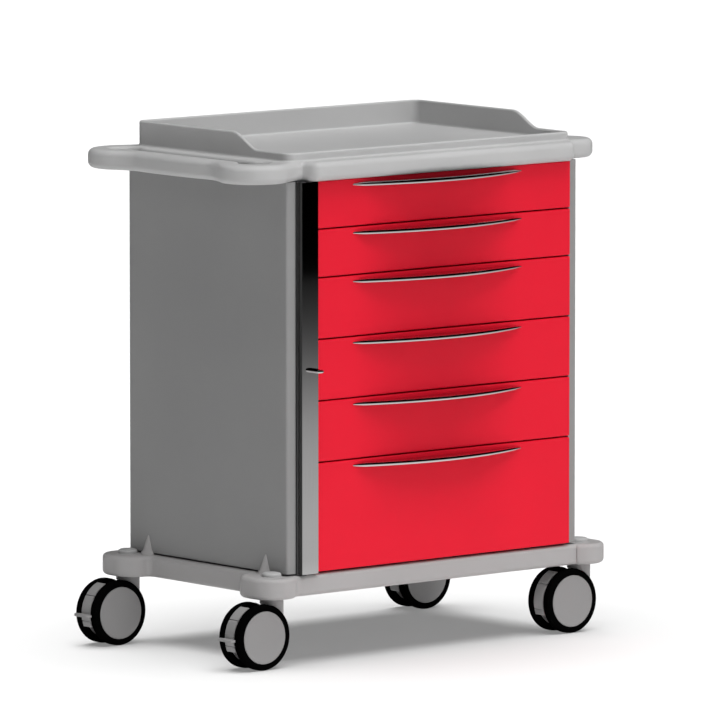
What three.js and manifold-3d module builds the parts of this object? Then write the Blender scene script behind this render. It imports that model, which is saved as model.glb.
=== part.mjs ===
// Hospital crash cart: six drawers behind a hinged lock bar, a moulded worktop with an
// integral push handle and a raised gallery, and a moulded bumper base on four twin casters.
// Millimetres, +Z up, the drawers face -Y and the push handle is on the -X side.
import * as THREE from "three";
import { mergeVertices } from "three/addons/utils/BufferGeometryUtils.js";
import Module from "manifold-3d";

const wasm = await Module();
wasm.setup();

// ---- Driving dimensions ----
const GAP = 0.3; // between pieces that touch

// The cart is drawn about the middle of its four casters, then moved by this much, so that
// the origin lies under the middle of the whole object.
const SHIFT_X = 35;
const SHIFT_Y = 9;

const SWIVEL_X = 385; // caster swivel axes, from the middle
const SWIVEL_Y = 216.5;

const BASE_BOTTOM = 132.3;
const BASE_TOP = 172.3;
const BASE_FRONT = 246.5; // half depth between the lobes
const BASE_LOBE = 48.5;
const BASE_LOBE_RUN = 18; // how far each lobe reaches on toward the middle of its side
const BASE_EDGE = 8;
const BASE_SIDE_DEG = 104; // where each lobe's arc leaves for the side of the base
const BASE_SIDE_RUN = 10;
const BASE_FRONT_DEG = 315; // where it leaves for the front
const BASE_FRONT_RUN = 13;

const CAP_RADIUS = 18.7;
const CAP_HEIGHT = 9;
const CONE_RADIUS = 15;
const CONE_TIP = 2;
const CONE_HEIGHT = 36;
const CONE_FROM_SWIVEL = 40;

const CABINET_LEFT = -366;
const CABINET_RIGHT = 357.7;
const CABINET_FRONT = -239;
const CABINET_BACK = 232.5;
const CABINET_TOP = 917.9;
const SKIN = 3; // sheet thickness
const PANEL_REVEAL = 2; // dark line between the base and the side panels
const PANEL_CORNER = 5; // bend of each side panel into its front flange
const FLANGE_LEFT = -344.2; // inner edges of the front flanges
const FLANGE_RIGHT = 337.6;
const FLANGE_RETURN = 16; // how far each flange is folded back along its inner edge

const WORKTOP_BOTTOM = 918.2;
const WORKTOP_TOP = 955.2;
const WORKTOP_EDGE = 12;
const HANDLE_LOBE = 71.3; // lobes at the ends of the push handle
const HANDLE_LOBE_X = 407.4;
const HANDLE_LOBE_Y = 192.6;
const RIGHT_LOBE = 49.5;
const RIGHT_LOBE_X = 376.7;
const RIGHT_LOBE_Y = 188.4;
const APRON_Y = 271;
const NECK_Y = 241.6;
const RIGHT_SIDE_X = 397;
const GRIP_OUTER_X = 454; // outer edge of the grip beside the lobes
const GRIP_CROWN = 6; // how far the grip bows out at its middle
const GRIP_FLAT = 0.55; // share of the lobes' distance over which the grip bows out
const GRIP_RUN = 26; // how far beyond a lobe's arc its blend into the grip reaches
const GRIP_DEG = 150; // where a handle lobe's arc starts
const NECK_DEG = 300; // and ends
const NECK_BEND = 22; // from there to the blend's corner and to its end
const NECK_RUN = 42;
const APRON_LEFT = -308; // the straight part of the front edge
const APRON_RIGHT = 318;
const APRON_BEND = 17;
const RIGHT_LOBE_START = 352;
const RIGHT_LOBE_DEG = 30; // where the right lobe's arc ends
const RIGHT_SIDE_BEND = 39; // from there to the blend's corner and to its end
const RIGHT_SIDE_RUN = 68;
const GRIP_INNER_X = 416;
const SLOT_INNER_X = 386;
const SLOT_END = 30;
const SLOT_END_SHIFT = 6; // of the slot's round ends, toward the grip

const GALLERY_X = 353.4;
const GALLERY_Y = 230;
const GALLERY_WALL = 8;
const GALLERY_CORNER = 20;
const GALLERY_LIP = 971.2;
const GALLERY_FLOOR = 0.8; // sheet that lines the worktop inside the gallery
const GALLERY_TOP = 1002;
const RAMP_LOW_Y = -139; // the side walls ramp up between these two places
const RAMP_HIGH_Y = -62;

const DRAWER_PITCHES = [91.9, 91.9, 116.7, 116.7, 116.7, 210]; // from the top down
const DRAWERS_TOP = 917.7;
const DRAWER_GAP = 3;
const DRAWER_LEFT = -297.5;
const DRAWER_RIGHT = 334.4;
const FRONT_FACE = -247;
const FRONT_BACK = -227;
const FRONT_BEVEL = 1;
const BOX_LEFT = -282;
const BOX_RIGHT = 318;
const BOX_BACK = 190;
const BOX_WALL = 3;
const BOX_BELOW = 12; // from the drawer's lower edge to the underside of its box
const BOX_ABOVE = 16;
const RUNNER_HEIGHT = 12;
const RUNNER_BACK = 186;
const LEFT_RUNNER = 18; // from a drawer box to the plate that carries its rail
const RIGHT_RUNNER = 16;
const RUNNER_FRONT = -223;
const LOWEST_CLEARANCE = 4.2; // between the lowest drawer front and the base

const HANDLE_HALF = 210.4;
const HANDLE_BOW = 42;
const HANDLE_THICK = 9;
const HANDLE_DROP = 12.3; // from the top of the drawer's pitch to the middle of the handle

const BAR_LEFT = -338.8;
const BAR_RIGHT = -299;
const BAR_FRONT = -251.5;
const BAR_THICK = 7.7;
const BAR_BOTTOM = 174.2;
const BAR_TOP = 916.2;
const BACKING_THICK = 3;
const BACKING_LEFT = -344.3; // the backing shows as a narrow strip beside the bar
const PIN_X = -334;
const PIN_RADIUS = 2;
const PIN_CLEARANCE = 0.25;
const PIN_LENGTH = 12;
const HINGE_PLATE = 1.2;
const HINGE_MARGIN = 5; // from the pin to the plate's edge
const CHANNEL_FRONT = -233.5; // front of the sheet behind the bar, which carries its hinges
const TAB_X = -307.7;
const TAB_Z = 559.8;
const TAB_HALF = 8;
const TAB_REACH = 22.5;
const TAB_THICK = 7.5;

const WHEEL_RADIUS = 62.5;
const WHEEL_INNER = 13.6; // wheel's faces, from the caster's mid plane
const WHEEL_OUTER = 31;
const RIM_RADIUS = 50.5;
const TYRE_FACE = 60;
const TYRE_SHOULDER = 4;
const TRAIL = 42;
const FORK_RADIUS = 61.5;
const FORK_HALF = 12.9;
const FORK_TOP = 68; // above the axle
const FORK_BROW = 8; // how far the flat top reaches behind the axle
const FORK_BROW_DEG = 112; // where the slope down from it meets the arc
const FORK_FRONT = 58;
const FORK_KNEE = 30;
const FORK_END_DEG = 204; // where the fork's rear arc ends, from +X through +Z
const FORK_CORE = 45;
const BOSS_RADIUS = 14;
const BOSS_END_DEG = 330;
const AXLE_RADIUS = 6;
const AXLE_HALF = 26;
const AXLE_END_GAP = 0.5;
const HEAD_RADIUS = 22.6;
const HEAD_BOTTOM = 95;
const HEAD_TOP = 131.5;
const STEM_RADIUS = 9;
const STEM_TOP = 158.5;
const STEM_CLEARANCE = 0.6;
const WHEEL_CLEARANCE = 2;
const PEDAL_START_DEG = 145.5;
const PEDAL_SLIT_DEG = 2.5;
const PEDAL_GAP = 0.5; // between the pedal's arc and the fork inside it
const PEDAL_ROOT = 4; // how far the tab runs into the arc
const PEDAL_NECK = 64;
const PEDAL_REACH = 76;
const PEDAL_HALF = 22;
const PEDAL_CORNER = 8;
const PEDAL_Z = -1.5;
const PEDAL_THICK = 4.6;

const ROUND = 24; // facets of a full circle
const SMALL_ROUND = 12;
const EMBED = 1; // how far joined pieces run into each other, and cuts run past a face

// ---- Finishes: colour, roughness, metalness ----
const LIGHT_GREY = [0xb2b2b2, 0.45, 0];
const BASE_GREY = [0x9c9a9a, 0.5, 0];
const PANEL_GREY = [0x787878, 0.5, 0.1];
const DARK_GREY = [0x2c2c2e, 0.6, 0];
const BOX_GREY = [0xc9cacb, 0.5, 0];
const RED = [0xe62539, 0.4, 0];
const SATIN_STEEL = [0xc4c2c2, 0.25, 1];
const BLACK_RUBBER = [0x0b0b0c, 0.7, 0];
const HUB_GREY = [0x918f8f, 0.5, 0];
const FORK_GREY = [0x838383, 0.5, 0];

// ---- Helpers ----
const cart = new THREE.Group();
cart.position.set(SHIFT_X, SHIFT_Y, 0);

function place(parent, name, geometry, [color, roughness, metalness]) {
  const material = new THREE.MeshStandardMaterial({ color, roughness, metalness });
  const mesh = new THREE.Mesh(geometry, material);
  mesh.name = name;
  parent.add(mesh);
  return mesh;
}

function radians(degrees) {
  return THREE.MathUtils.degToRad(degrees);
}

function polar(radius, degrees) {
  return [radius * Math.cos(radians(degrees)), radius * Math.sin(radians(degrees))];
}

function toManifold(geometry) {
  const bare = geometry.clone();
  bare.deleteAttribute("normal");
  bare.deleteAttribute("uv");
  const merged = mergeVertices(bare, 1e-3);
  const mesh = new wasm.Mesh({
    numProp: 3,
    vertProperties: merged.attributes.position.array,
    triVerts: new Uint32Array(merged.index.array),
  });
  return new wasm.Manifold(mesh);
}

function fromManifold(solid) {
  const mesh = solid.getMesh();
  const geometry = new THREE.BufferGeometry();
  geometry.setAttribute("position", new THREE.BufferAttribute(mesh.vertProperties, 3));
  geometry.setIndex(new THREE.BufferAttribute(mesh.triVerts, 1));
  geometry.computeVertexNormals();
  return geometry;
}

// The first geometry, with those in add joined to it and then those in cut taken away.
function combine(first, { add = [], cut = [] }) {
  let solid = toManifold(first);
  for (const piece of add) solid = solid.add(toManifold(piece));
  for (const piece of cut) solid = solid.subtract(toManifold(piece));
  return fromManifold(solid);
}

function box([x0, x1], [y0, y1], [z0, z1]) {
  const geometry = new THREE.BoxGeometry(x1 - x0, y1 - y0, z1 - z0);
  return geometry.translate((x0 + x1) / 2, (y0 + y1) / 2, (z0 + z1) / 2);
}

// A plate of the outline given by shape, lying between z0 and z1, its edges eased by edge.
function slab(shape, z0, z1, edge = 0, easeSteps = 1, curveSegments = 5) {
  const geometry = new THREE.ExtrudeGeometry(shape, {
    depth: z1 - z0 - 2 * edge,
    bevelEnabled: edge > 0,
    bevelThickness: edge,
    bevelSize: edge,
    bevelOffset: -edge,
    bevelSegments: easeSteps,
    curveSegments,
  });
  return geometry.translate(0, 0, z0 + edge);
}

// An outline in X and Z, extruded along Y between -half and half.
function upright(shape, half, curveSegments = 6) {
  const depth = 2 * half;
  const geometry = new THREE.ExtrudeGeometry(shape, {
    depth,
    bevelEnabled: false,
    curveSegments,
  });
  return geometry.rotateX(Math.PI / 2).translate(0, half, 0);
}

function uprightCylinder(radius, z0, z1, x = 0, y = 0, facets = ROUND) {
  const geometry = new THREE.CylinderGeometry(radius, radius, z1 - z0, facets);
  return geometry.rotateX(Math.PI / 2).translate(x, y, (z0 + z1) / 2);
}

function axleCylinder(radius, y0, y1, facets = ROUND) {
  const geometry = new THREE.CylinderGeometry(radius, radius, y1 - y0, facets);
  return geometry.translate(0, (y0 + y1) / 2, 0);
}

function roundedRectangle(halfX, halfY, corner) {
  const shape = new THREE.Shape();
  const x = halfX - corner;
  const y = halfY - corner;
  shape.absarc(x, -y, corner, -Math.PI / 2, 0);
  shape.absarc(x, y, corner, 0, Math.PI / 2);
  shape.absarc(-x, y, corner, Math.PI / 2, Math.PI);
  shape.absarc(-x, -y, corner, Math.PI, 1.5 * Math.PI);
  shape.closePath();
  return shape;
}

// A closed outline from its front half, which runs from the left end of the X axis to the
// right end, and that half's mirror image behind the X axis.
function mirroredOutline(frontHalf) {
  const back = frontHalf.slice(1, -1).reverse();
  const mirrored = back.map((p) => new THREE.Vector2(p.x, -p.y));
  return new THREE.Shape([...frontHalf, ...mirrored]);
}

// ---- Base ----
// From the middle of the left side round the front-left lobe to the middle of the front.
function baseQuarter() {
  const path = new THREE.Path();
  const [filletX, filletY] = polar(BASE_LOBE, BASE_SIDE_DEG);
  const [mergeX, mergeY] = polar(BASE_LOBE, BASE_FRONT_DEG);
  const lobeEnd = -SWIVEL_Y + BASE_LOBE_RUN;
  path.moveTo(-SWIVEL_X, 0);
  path.lineTo(-SWIVEL_X, lobeEnd + BASE_LOBE + BASE_SIDE_RUN);
  path.quadraticCurveTo(
    -SWIVEL_X,
    lobeEnd + BASE_LOBE,
    -SWIVEL_X + filletX,
    lobeEnd + filletY,
  );
  path.absarc(-SWIVEL_X, lobeEnd, BASE_LOBE, radians(BASE_SIDE_DEG), Math.PI);
  path.absarc(-SWIVEL_X, -SWIVEL_Y, BASE_LOBE, Math.PI, radians(BASE_FRONT_DEG));
  path.quadraticCurveTo(
    -SWIVEL_X + mergeX + SWIVEL_Y - mergeY - BASE_FRONT,
    -BASE_FRONT,
    -SWIVEL_X + mergeX + BASE_FRONT_RUN,
    -BASE_FRONT,
  );
  path.lineTo(0, -BASE_FRONT);
  return path.getPoints(6);
}

function baseOutline() {
  const left = baseQuarter();
  const right = left.slice(0, -1).reverse();
  const mirrored = right.map((p) => new THREE.Vector2(-p.x, p.y));
  return mirroredOutline([...left, ...mirrored]);
}

function sideOf(sideX) {
  return sideX < 0 ? CABINET_LEFT : CABINET_RIGHT;
}

// A locating cone, cut off where it meets the side panel.
function halfCone(sideX, sideY) {
  const side = sideOf(sideX);
  const height = CONE_HEIGHT + 2 * EMBED;
  const cone = new THREE.CylinderGeometry(CONE_TIP, CONE_RADIUS, height, SMALL_ROUND);
  const y = sideY * (SWIVEL_Y - CONE_FROM_SWIVEL);
  const middleZ = BASE_TOP + CONE_HEIGHT / 2 - EMBED;
  cone.rotateX(Math.PI / 2).translate(side, y, middleZ);
  const faces = [side + sideX * GAP, side - 2 * sideX * CONE_RADIUS];
  const inside = box(
    faces.sort((a, b) => a - b),
    [y - 2 * CONE_RADIUS, y + 2 * CONE_RADIUS],
    [BASE_TOP, BASE_TOP + 2 * CONE_HEIGHT],
  );
  return combine(cone, { cut: [inside] });
}

const CORNERS = [
  ["front_left", -1, -1],
  ["back_left", -1, 1],
  ["front_right", 1, -1],
  ["back_right", 1, 1],
];

function buildBase() {
  const body = slab(baseOutline(), BASE_BOTTOM, BASE_TOP, BASE_EDGE);
  const cones = CORNERS.map(([, sideX, sideY]) => halfCone(sideX, sideY));
  const sockets = CORNERS.map(([, sideX, sideY]) =>
    uprightCylinder(
      STEM_RADIUS + STEM_CLEARANCE,
      BASE_BOTTOM - EMBED,
      STEM_TOP + EMBED,
      sideX * SWIVEL_X,
      sideY * SWIVEL_Y,
      SMALL_ROUND,
    ),
  );
  place(cart, "base_tray", combine(body, { add: cones, cut: sockets }), BASE_GREY);
}

function buildBoltCap(name, sideX, sideY) {
  const profile = [
    new THREE.Vector2(0, 0),
    new THREE.Vector2(CAP_RADIUS, 0),
    new THREE.Vector2(CAP_RADIUS, 0.45 * CAP_HEIGHT),
    new THREE.Vector2(0.8 * CAP_RADIUS, 0.85 * CAP_HEIGHT),
    new THREE.Vector2(0, CAP_HEIGHT),
  ];
  const geometry = new THREE.LatheGeometry(profile, ROUND).rotateX(Math.PI / 2);
  const cap = place(cart, "bolt_cap_" + name, geometry, LIGHT_GREY);
  cap.position.set(sideX * SWIVEL_X, sideY * SWIVEL_Y, BASE_TOP + GAP);
}

// ---- Cabinet ----
// A sheet in X and Y: the side, its bend, the front flange and the flange's return.
function sidePanelShape(sideX, flange) {
  const side = sideOf(sideX);
  const front = CABINET_FRONT;
  const returnEnd = front + FLANGE_RETURN;
  const start = sideX < 0 ? Math.PI : 0;
  const bend = [side - sideX * PANEL_CORNER, front + PANEL_CORNER];
  const shape = new THREE.Shape();
  shape.moveTo(side, CABINET_BACK);
  shape.lineTo(side, bend[1]);
  shape.absarc(...bend, PANEL_CORNER, start, -Math.PI / 2, sideX > 0);
  shape.lineTo(flange, front);
  shape.lineTo(flange, returnEnd);
  shape.lineTo(flange + sideX * SKIN, returnEnd);
  shape.lineTo(flange + sideX * SKIN, front + SKIN);
  shape.lineTo(side - sideX * SKIN, front + SKIN);
  shape.lineTo(side - sideX * SKIN, CABINET_BACK);
  shape.closePath();
  return shape;
}

function buildCabinet() {
  const panelZ = [BASE_TOP + PANEL_REVEAL, CABINET_TOP];
  const left = slab(sidePanelShape(-1, FLANGE_LEFT), ...panelZ);
  const right = slab(sidePanelShape(1, FLANGE_RIGHT), ...panelZ);
  place(cart, "side_panel_left", left, PANEL_GREY);
  place(cart, "side_panel_right", right, PANEL_GREY);
  const back = box(
    [CABINET_LEFT + SKIN + GAP, CABINET_RIGHT - SKIN - GAP],
    [CABINET_BACK - SKIN, CABINET_BACK],
    [BASE_TOP + GAP, CABINET_TOP],
  );
  place(cart, "back_panel", back, PANEL_GREY);
}

// ---- Drawers ----
const drawers = [];
let pitchTop = DRAWERS_TOP;
for (const pitch of DRAWER_PITCHES) {
  const top = pitchTop - DRAWER_GAP / 2;
  const bottom = pitchTop - pitch + DRAWER_GAP / 2;
  drawers.push({
    top,
    bottom,
    handleZ: pitchTop - HANDLE_DROP,
    boxBottom: bottom + BOX_BELOW,
    boxTop: top - BOX_ABOVE,
  });
  pitchTop -= pitch;
}
drawers.at(-1).bottom = BASE_TOP + LOWEST_CLEARANCE;

function frontShape({ top, bottom }) {
  const shape = new THREE.Shape();
  shape.moveTo(DRAWER_LEFT, bottom);
  shape.lineTo(DRAWER_RIGHT, bottom);
  shape.lineTo(DRAWER_RIGHT, top);
  shape.lineTo(DRAWER_LEFT, top);
  shape.closePath();
  return shape;
}

function handleShape() {
  const radius = (HANDLE_HALF ** 2 + HANDLE_BOW ** 2) / (2 * HANDLE_BOW);
  const half = Math.asin(HANDLE_HALF / radius);
  const shape = new THREE.Shape();
  shape.absarc(0, radius - HANDLE_BOW, radius, -Math.PI / 2 - half, -Math.PI / 2 + half);
  shape.closePath();
  return shape;
}

function buildDrawer(drawer, number) {
  const name = "drawer_" + number;
  const face = slab(frontShape(drawer), 0, FRONT_BACK - FRONT_FACE, FRONT_BEVEL);
  face.rotateX(Math.PI / 2).translate(0, FRONT_BACK, 0);
  place(cart, name + "_front", face, RED);

  const y = [FRONT_BACK + GAP, BOX_BACK];
  const outer = box([BOX_LEFT, BOX_RIGHT], y, [drawer.boxBottom, drawer.boxTop]);
  const inner = box(
    [BOX_LEFT + BOX_WALL, BOX_RIGHT - BOX_WALL],
    [y[0] + BOX_WALL, y[1] - BOX_WALL],
    [drawer.boxBottom + BOX_WALL, drawer.boxTop + EMBED],
  );
  place(cart, name + "_box", combine(outer, { cut: [inner] }), BOX_GREY);

  const grip = slab(handleShape(), -HANDLE_THICK / 2, HANDLE_THICK / 2, 0, 1, 8);
  const handle = place(cart, name + "_handle", grip, SATIN_STEEL);
  handle.position.set(0, FRONT_FACE - GAP, drawer.handleZ);
}

// A side plate with one rail beside each drawer box.
function runnerPanel(plateX, railX) {
  const y = [RUNNER_FRONT, CABINET_BACK - SKIN - GAP];
  const plate = box(plateX, y, [BASE_TOP + GAP, CABINET_TOP]);
  const rails = drawers.map(({ boxBottom }) => {
    const z = boxBottom + RUNNER_HEIGHT;
    return box(railX, [y[0], RUNNER_BACK], [z, z + RUNNER_HEIGHT]);
  });
  return combine(plate, { add: rails });
}

function buildRunners() {
  const leftFace = BOX_LEFT - LEFT_RUNNER;
  const rightFace = BOX_RIGHT + RIGHT_RUNNER;
  const leftPlate = [leftFace - SKIN, leftFace];
  const leftRail = [leftFace - EMBED, BOX_LEFT - GAP];
  const rightPlate = [rightFace, rightFace + SKIN];
  const rightRail = [BOX_RIGHT + GAP, rightFace + EMBED];
  place(cart, "runner_panel_left", runnerPanel(leftPlate, leftRail), DARK_GREY);
  place(cart, "runner_panel_right", runnerPanel(rightPlate, rightRail), DARK_GREY);
}

// ---- Lock bar ----
function hingeBracket(z0, pinZ) {
  const y = BAR_FRONT + BAR_THICK / 2;
  const plate = box(
    [BAR_LEFT, PIN_X + HINGE_MARGIN],
    [y - HINGE_MARGIN, CHANNEL_FRONT - GAP],
    [z0, z0 + HINGE_PLATE],
  );
  const pin = uprightCylinder(PIN_RADIUS, ...pinZ, PIN_X, y, SMALL_ROUND);
  return combine(plate, { add: [pin] });
}

function pinHole(z0, z1) {
  const y = BAR_FRONT + BAR_THICK / 2;
  return uprightCylinder(PIN_RADIUS + PIN_CLEARANCE, z0, z1, PIN_X, y, SMALL_ROUND);
}

function tabShape() {
  const shape = new THREE.Shape();
  shape.moveTo(TAB_HALF, 0);
  shape.lineTo(-TAB_HALF, 0);
  shape.lineTo(-TAB_HALF, -TAB_REACH + TAB_HALF);
  shape.absarc(0, -TAB_REACH + TAB_HALF, TAB_HALF, Math.PI, 2 * Math.PI);
  shape.closePath();
  return shape;
}

function buildLockBar() {
  const barBack = BAR_FRONT + BAR_THICK;
  const barX = [BAR_LEFT, BAR_RIGHT];
  const bar = box(barX, [BAR_FRONT, barBack], [BAR_BOTTOM, BAR_TOP]);
  const reach = PIN_LENGTH + EMBED;
  const holes = [
    pinHole(BAR_BOTTOM - EMBED, BAR_BOTTOM + reach),
    pinHole(BAR_TOP - reach, BAR_TOP + EMBED),
  ];
  place(cart, "lock_bar", combine(bar, { cut: holes }), SATIN_STEEL);

  const backing = box(
    [BACKING_LEFT, BAR_RIGHT],
    [barBack + GAP, barBack + GAP + BACKING_THICK],
    [BAR_BOTTOM, BAR_TOP],
  );
  place(cart, "lock_bar_backing", backing, LIGHT_GREY);

  const tab = slab(tabShape(), -TAB_THICK / 2, TAB_THICK / 2);
  const tabMesh = place(cart, "lock_tab", tab, SATIN_STEEL);
  tabMesh.position.set(TAB_X, BAR_FRONT - GAP, TAB_Z);

  const lowZ = BASE_TOP + GAP;
  const highZ = CABINET_TOP - HINGE_PLATE;
  const lower = hingeBracket(lowZ, [lowZ + EMBED, BAR_BOTTOM + PIN_LENGTH]);
  const upper = hingeBracket(highZ, [BAR_TOP - PIN_LENGTH, highZ + EMBED]);
  place(cart, "lock_hinge_lower", lower, DARK_GREY);
  place(cart, "lock_hinge_upper", upper, DARK_GREY);

  const runnerX = BOX_LEFT - LEFT_RUNNER - SKIN;
  const channelX = [FLANGE_LEFT + GAP, runnerX - GAP];
  const channelY = [CHANNEL_FRONT, CHANNEL_FRONT + SKIN];
  const channel = box(channelX, channelY, [BASE_TOP + GAP, CABINET_TOP]);
  place(cart, "lock_channel", channel, DARK_GREY);
}

// ---- Worktop ----
// From the middle of the grip round the front to the middle of the right side.
function worktopFront() {
  const path = new THREE.Path();
  const lobe = [-HANDLE_LOBE_X, -HANDLE_LOBE_Y];
  const [leaveX, leaveY] = polar(HANDLE_LOBE, GRIP_DEG);
  const [neckX] = polar(HANDLE_LOBE, NECK_DEG);
  const rightLobe = [RIGHT_LOBE_X, -RIGHT_LOBE_Y];
  const rightLobeFront = -RIGHT_LOBE_Y - RIGHT_LOBE;
  const [, sideY] = polar(RIGHT_LOBE, RIGHT_LOBE_DEG);
  const gripY = -GRIP_FLAT * HANDLE_LOBE_Y;
  path.moveTo(-GRIP_OUTER_X - GRIP_CROWN, 0);
  path.quadraticCurveTo(-GRIP_OUTER_X - GRIP_CROWN, gripY / 2, -GRIP_OUTER_X, gripY);
  path.quadraticCurveTo(
    -GRIP_OUTER_X,
    lobe[1] + leaveY + GRIP_RUN,
    lobe[0] + leaveX,
    lobe[1] + leaveY,
  );
  path.absarc(...lobe, HANDLE_LOBE, radians(GRIP_DEG), radians(NECK_DEG));
  path.quadraticCurveTo(
    lobe[0] + neckX + NECK_BEND,
    -NECK_Y,
    lobe[0] + neckX + NECK_RUN,
    -NECK_Y,
  );
  const leftBend = APRON_LEFT - APRON_BEND;
  const rightBend = APRON_RIGHT + APRON_BEND;
  path.bezierCurveTo(leftBend, -NECK_Y, leftBend, -APRON_Y, APRON_LEFT, -APRON_Y);
  path.lineTo(APRON_RIGHT, -APRON_Y);
  path.bezierCurveTo(
    rightBend,
    -APRON_Y,
    rightBend,
    rightLobeFront,
    RIGHT_LOBE_START,
    rightLobeFront,
  );
  path.absarc(...rightLobe, RIGHT_LOBE, -Math.PI / 2, radians(RIGHT_LOBE_DEG));
  path.quadraticCurveTo(
    RIGHT_SIDE_X,
    rightLobe[1] + sideY + RIGHT_SIDE_BEND,
    RIGHT_SIDE_X,
    rightLobe[1] + sideY + RIGHT_SIDE_RUN,
  );
  path.lineTo(RIGHT_SIDE_X, 0);
  return path.getPoints(6);
}

function handSlot() {
  const endX = -(GRIP_INNER_X + SLOT_INNER_X) / 2 - SLOT_END_SHIFT;
  const z = [WORKTOP_BOTTOM - EMBED, WORKTOP_TOP + EMBED];
  const straight = box(
    [-GRIP_INNER_X, -SLOT_INNER_X],
    [-HANDLE_LOBE_Y, HANDLE_LOBE_Y],
    z,
  );
  const ends = [-1, 1].map((side) =>
    uprightCylinder(SLOT_END, ...z, endX, side * HANDLE_LOBE_Y),
  );
  return combine(straight, { add: ends });
}

function buildWorktop() {
  const outline = mirroredOutline(worktopFront());
  const top = slab(outline, WORKTOP_BOTTOM, WORKTOP_TOP, WORKTOP_EDGE, 2);
  place(cart, "worktop", combine(top, { cut: [handSlot()] }), LIGHT_GREY);
}

// What is cut away above the gallery's low lip and its ramps.
function aboveRamp() {
  const above = GALLERY_TOP + EMBED;
  const inFront = -GALLERY_Y - EMBED;
  const middle = (RAMP_LOW_Y + RAMP_HIGH_Y) / 2;
  const shape = new THREE.Shape();
  shape.moveTo(inFront, GALLERY_LIP);
  shape.lineTo(RAMP_LOW_Y, GALLERY_LIP);
  shape.bezierCurveTo(middle, GALLERY_LIP, middle, GALLERY_TOP, RAMP_HIGH_Y, GALLERY_TOP);
  shape.lineTo(RAMP_HIGH_Y, above);
  shape.lineTo(inFront, above);
  shape.closePath();
  return upright(shape, GALLERY_X + EMBED, 8).rotateZ(Math.PI / 2);
}

function buildGallery() {
  const wall = GALLERY_WALL;
  const outer = roundedRectangle(GALLERY_X, GALLERY_Y, GALLERY_CORNER);
  const inner = roundedRectangle(GALLERY_X - wall, GALLERY_Y - wall, GALLERY_CORNER - wall);
  const bottom = WORKTOP_TOP + GAP;
  const body = slab(outer, bottom, GALLERY_TOP, 0, 1, 3);
  const hollow = slab(inner, bottom + GALLERY_FLOOR, GALLERY_TOP + EMBED, 0, 1, 3);
  const cut = [hollow, aboveRamp()];
  place(cart, "worktop_tray", combine(body, { cut }), LIGHT_GREY);
}

// ---- Casters ----
// The fork's web in X and Z about the axle; coreOnly leaves out the arc that the pedal fills.
function forkShape(coreOnly) {
  const end = radians(FORK_END_DEG);
  const shape = new THREE.Shape();
  shape.moveTo(FORK_FRONT, FORK_KNEE);
  shape.lineTo(FORK_FRONT, FORK_TOP);
  shape.lineTo(-FORK_BROW, FORK_TOP);
  if (coreOnly) {
    const start = radians(PEDAL_START_DEG - PEDAL_SLIT_DEG);
    shape.absarc(0, 0, FORK_RADIUS, radians(FORK_BROW_DEG), start);
    shape.absarc(0, 0, FORK_CORE, start, end);
  } else {
    shape.absarc(0, 0, FORK_RADIUS, radians(FORK_BROW_DEG), end);
  }
  shape.absarc(0, 0, BOSS_RADIUS, end, radians(BOSS_END_DEG));
  shape.closePath();
  return shape;
}

function forkGeometry(hasPedal) {
  const axleZ = WHEEL_RADIUS;
  const web = upright(forkShape(hasPedal), FORK_HALF);
  const head = uprightCylinder(HEAD_RADIUS, HEAD_BOTTOM - axleZ, HEAD_TOP - axleZ, TRAIL);
  const near = FORK_HALF + GAP;
  const clear = WHEEL_RADIUS + WHEEL_CLEARANCE;
  const wheelRooms = [
    axleCylinder(clear, near, near + HEAD_RADIUS),
    axleCylinder(clear, -near - HEAD_RADIUS, -near),
  ];
  const trimmed = combine(head, { cut: wheelRooms });
  const stem = uprightCylinder(
    STEM_RADIUS,
    HEAD_TOP - axleZ - EMBED,
    STEM_TOP - axleZ,
    TRAIL,
    0,
    SMALL_ROUND,
  );
  const axle = axleCylinder(AXLE_RADIUS, -AXLE_HALF, AXLE_HALF, SMALL_ROUND);
  return combine(web, { add: [trimmed, stem, axle] });
}

function pedalTabShape() {
  const x = -PEDAL_REACH + PEDAL_CORNER;
  const y = PEDAL_HALF - PEDAL_CORNER;
  const shape = new THREE.Shape();
  shape.moveTo(-FORK_CORE - PEDAL_ROOT, FORK_HALF - GAP);
  shape.lineTo(-PEDAL_NECK, FORK_HALF - GAP);
  shape.lineTo(-PEDAL_NECK, PEDAL_HALF);
  shape.absarc(x, y, PEDAL_CORNER, Math.PI / 2, Math.PI);
  shape.absarc(x, -y, PEDAL_CORNER, Math.PI, 1.5 * Math.PI);
  shape.lineTo(-PEDAL_NECK, -PEDAL_HALF);
  shape.lineTo(-PEDAL_NECK, -FORK_HALF + GAP);
  shape.lineTo(-FORK_CORE - PEDAL_ROOT, -FORK_HALF + GAP);
  shape.closePath();
  return shape;
}

function pedalGeometry() {
  const arc = new THREE.Shape();
  const start = radians(PEDAL_START_DEG);
  const end = radians(FORK_END_DEG);
  arc.absarc(0, 0, FORK_RADIUS, start, end);
  arc.absarc(0, 0, FORK_CORE + PEDAL_GAP, end, start, true);
  arc.closePath();
  const z = [PEDAL_Z - PEDAL_THICK / 2, PEDAL_Z + PEDAL_THICK / 2];
  const tab = slab(pedalTabShape(), ...z, 0, 1, 2);
  return combine(upright(arc, FORK_HALF), { add: [tab] });
}

// Wheel parts are turned about the axle, for the wheel on the +Y side of the fork.
function hubGeometry() {
  const bore = AXLE_RADIUS + PIN_CLEARANCE;
  const rim = RIM_RADIUS - GAP;
  const profile = [
    new THREE.Vector2(0, AXLE_HALF + AXLE_END_GAP),
    new THREE.Vector2(bore, AXLE_HALF + AXLE_END_GAP),
    new THREE.Vector2(bore, WHEEL_INNER),
    new THREE.Vector2(rim, WHEEL_INNER),
    new THREE.Vector2(rim, WHEEL_OUTER),
    new THREE.Vector2(0, WHEEL_OUTER),
  ];
  return new THREE.LatheGeometry(profile, ROUND);
}

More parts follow.
